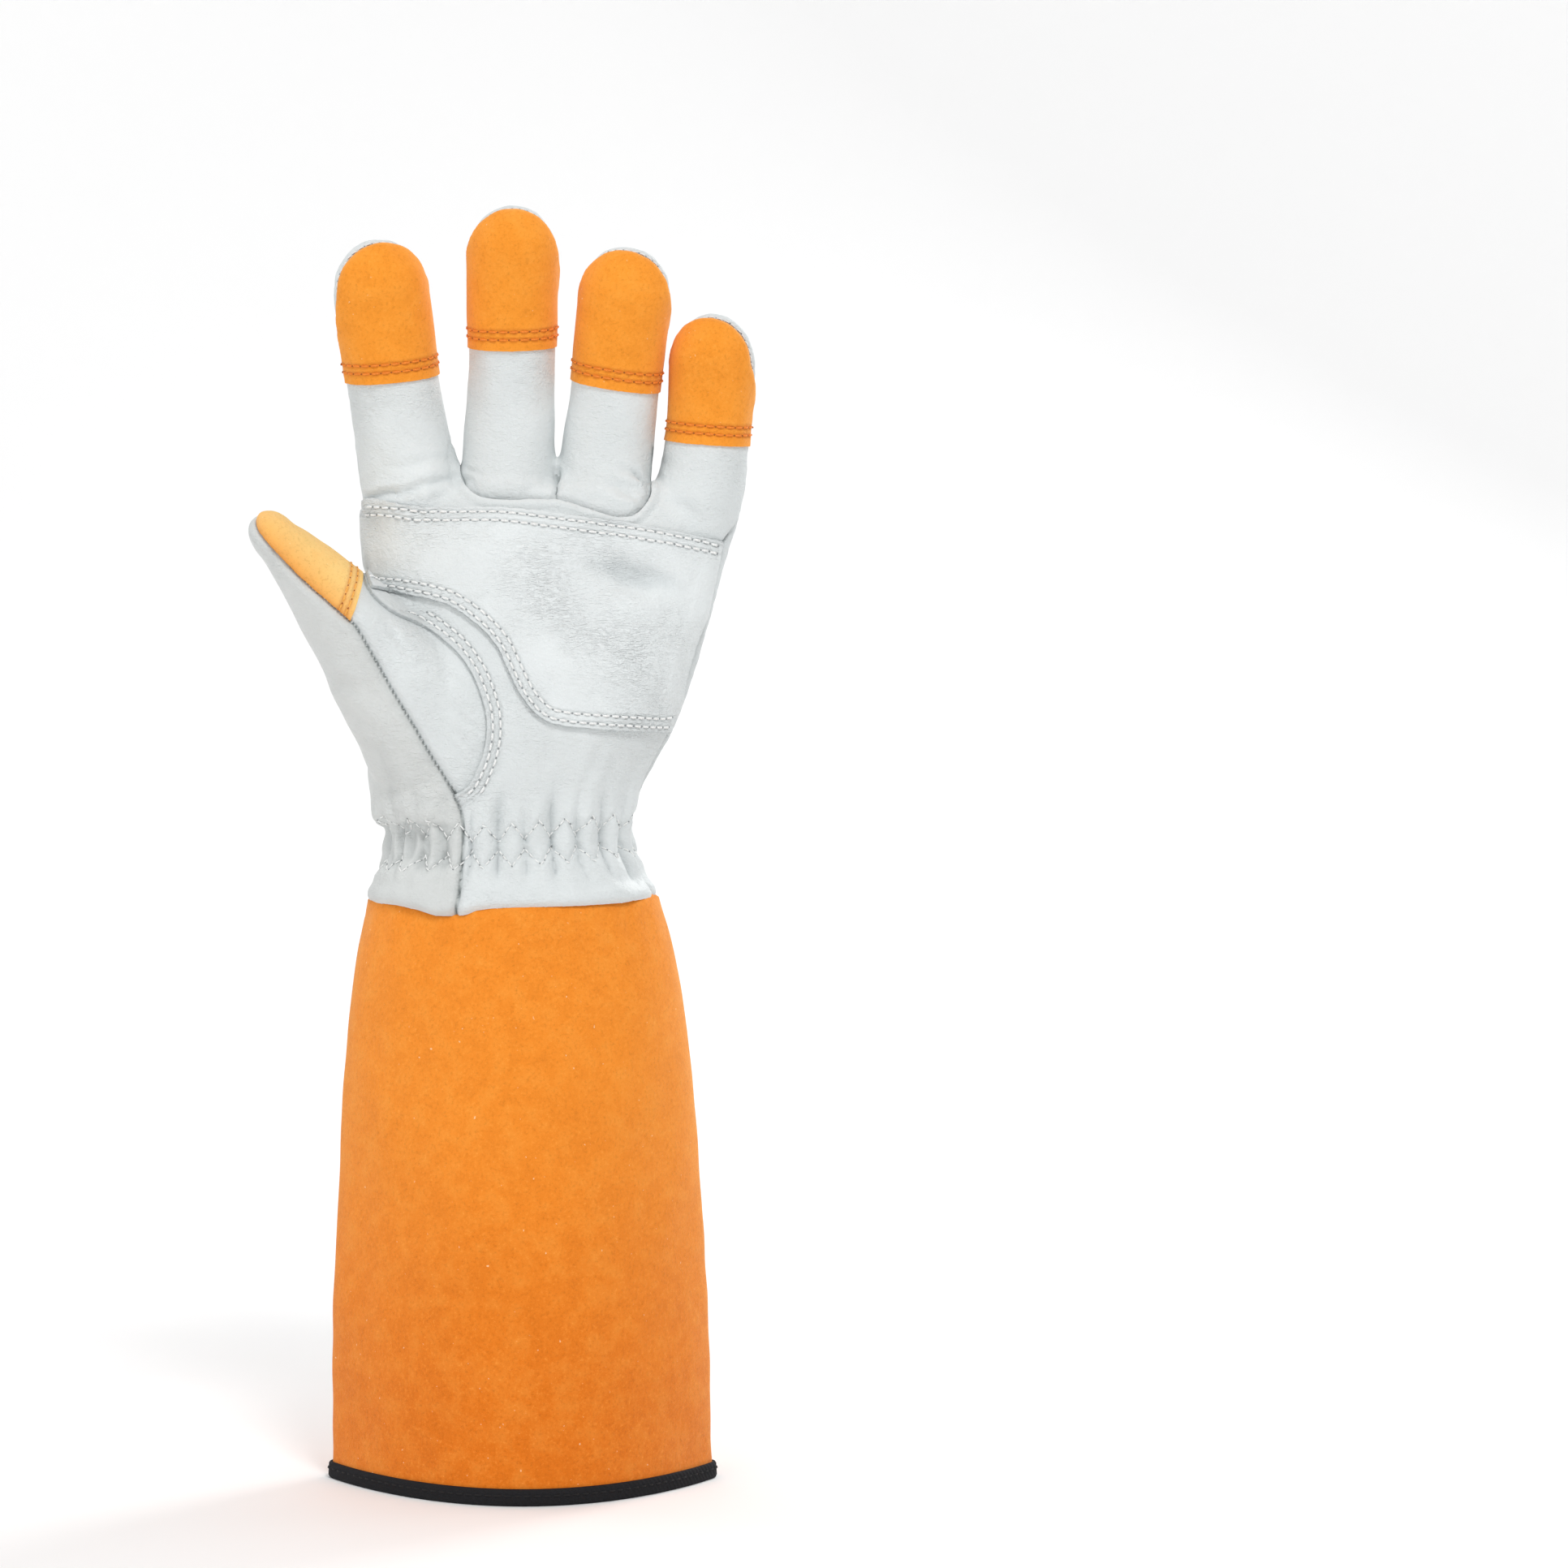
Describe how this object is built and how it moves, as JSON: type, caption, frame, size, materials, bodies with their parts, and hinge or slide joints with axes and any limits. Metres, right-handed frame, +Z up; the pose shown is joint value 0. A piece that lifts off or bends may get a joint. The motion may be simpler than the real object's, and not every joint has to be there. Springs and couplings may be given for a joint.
{
  "type": "rose pruning gauntlet",
  "caption": "Long left-hand pruning gauntlet: pale leather hand with gathered wrist, orange suede fingertips and flared forearm cuff with a bound hem and a plain badge.",
  "frame": {"origin": "middle of the cuff's mouth, at the level of the bound hem, where the forearm goes in", "axes": "+Z up from the hem to the fingertips, +X towards the little finger, -Y out of the palm, +Y out of the back of the hand"},
  "size_m": [0.1513, 0.0841, 0.3821],
  "materials": {
    "white_leather": "off-white goat leather with a fine pebbled grain, soft creases and white double stitching",
    "orange_suede": "orange split suede with a short nap",
    "black_binding": "black woven binding tape, stitched once round",
    "black_rubber": "bare black moulded rubber with a raised rim and stitching"
  },
  "bodies": {
    "root": {"back_panel": "white_leather", "thumb_back": "white_leather", "palm_panel": "white_leather", "middle_finger_front": "white_leather", "ring_finger_front": "white_leather", "thumb_front": "white_leather", "index_tip_cap": "orange_suede", "middle_tip_cap": "orange_suede", "ring_tip_cap": "orange_suede", "little_tip_cap": "orange_suede", "thumb_tip_cap": "orange_suede", "palm_patch": "white_leather", "gauntlet_cuff": "orange_suede", "hem_binding": "black_binding", "badge": "black_rubber"}
  },
  "joints": []
}
